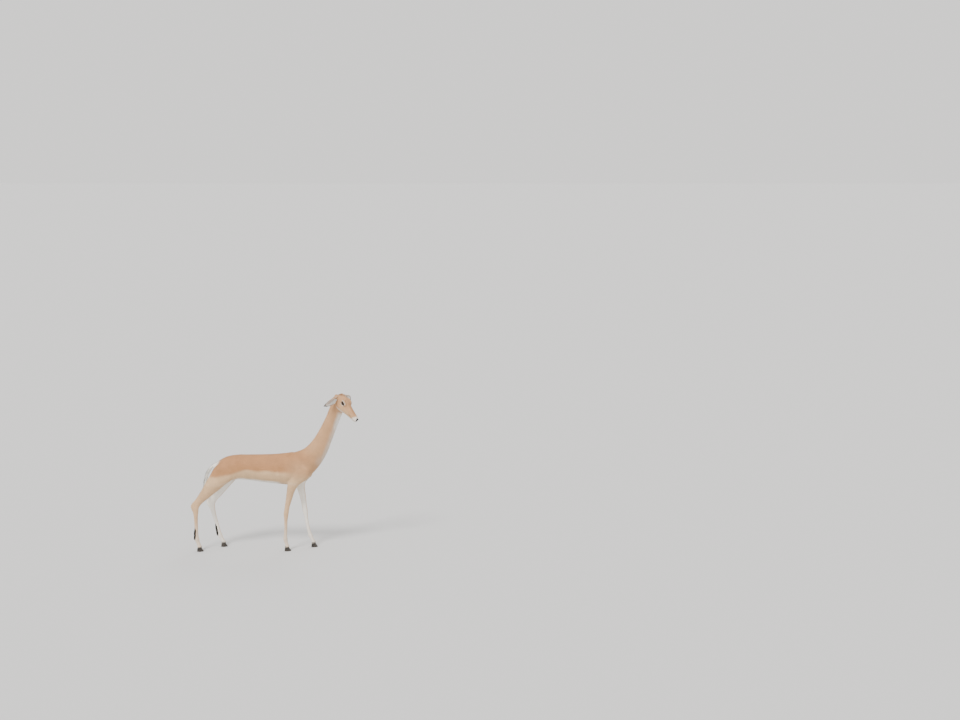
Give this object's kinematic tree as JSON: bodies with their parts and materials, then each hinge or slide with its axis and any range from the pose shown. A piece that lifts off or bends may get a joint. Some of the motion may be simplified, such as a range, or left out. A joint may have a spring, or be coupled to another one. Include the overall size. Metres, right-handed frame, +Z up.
{
  "type": "impala ewe, standing, life-size still model",
  "caption": "Adult female impala standing alert on four hooves, neck raised and head turned to its right; a still life-size model.",
  "frame": {"origin": "on the floor, at the middle of the base of the animal's own box", "axes": "+X the way the animal faces, +Y its left side, +Z up"},
  "size_m": [1.4702, 0.2854, 1.3819],
  "materials": {
    "coat": "short fur",
    "hoof": "satin horn",
    "eye": "wet gloss"
  },
  "bodies": {
    "root": {"torso": "coat", "neck": "coat", "head": "coat", "ear_right": "coat", "ear_left": "coat", "eye_right": "eye", "eye_left": "eye", "tail": "coat", "foreleg_right": "coat", "foreleg_left": "coat", "hindleg_right": "coat", "hindleg_left": "coat", "hindshank_right": "coat", "hindshank_left": "coat", "forehoof_right_a": "hoof", "forehoof_right_b": "hoof", "forehoof_left_a": "hoof", "forehoof_left_b": "hoof", "hindhoof_right_a": "hoof", "hindhoof_right_b": "hoof", "hindhoof_left_a": "hoof", "hindhoof_left_b": "hoof"}
  },
  "joints": []
}
